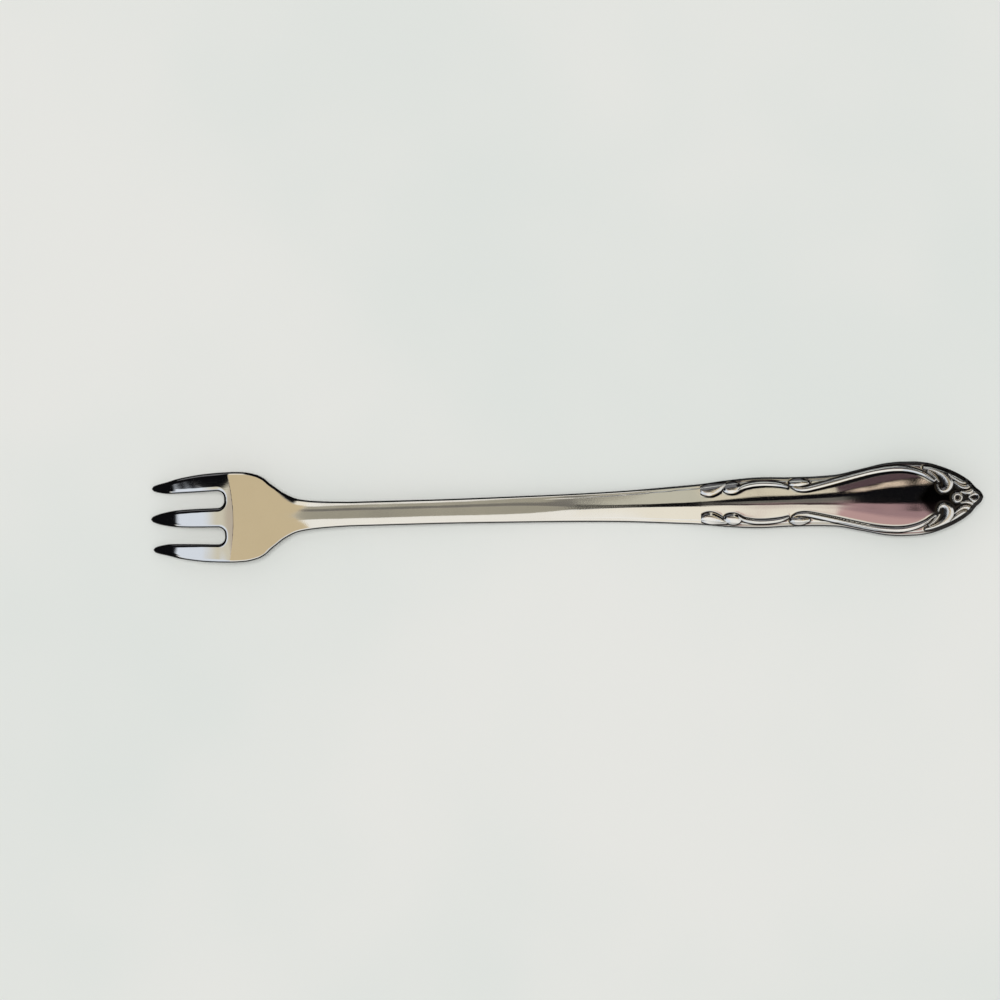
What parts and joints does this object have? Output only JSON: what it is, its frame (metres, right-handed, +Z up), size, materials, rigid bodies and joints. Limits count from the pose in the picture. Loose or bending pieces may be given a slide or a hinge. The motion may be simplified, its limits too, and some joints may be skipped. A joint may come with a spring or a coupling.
{
  "type": "oyster fork",
  "caption": "Slim polished steel oyster fork lying back up, with tapering curved tines, a crowned root, a slender stem and a shield-shaped handle end with coined scrolls.",
  "frame": {"origin": "on the table, under the middle of the fork's length and width, with the fork lying back up", "axes": "+X along the fork from the points of the tines to the end of the shield, +Y across it, +Z up through the back"},
  "size_m": [0.155, 0.0168, 0.0059],
  "materials": {
    "steel": "mirror-polished stainless steel with fine wear"
  },
  "bodies": {
    "root": {"tine_left": "steel", "tine_middle": "steel", "tine_right": "steel", "root": "steel", "neck": "steel", "stem": "steel", "handle": "steel", "shield": "steel"}
  },
  "joints": []
}
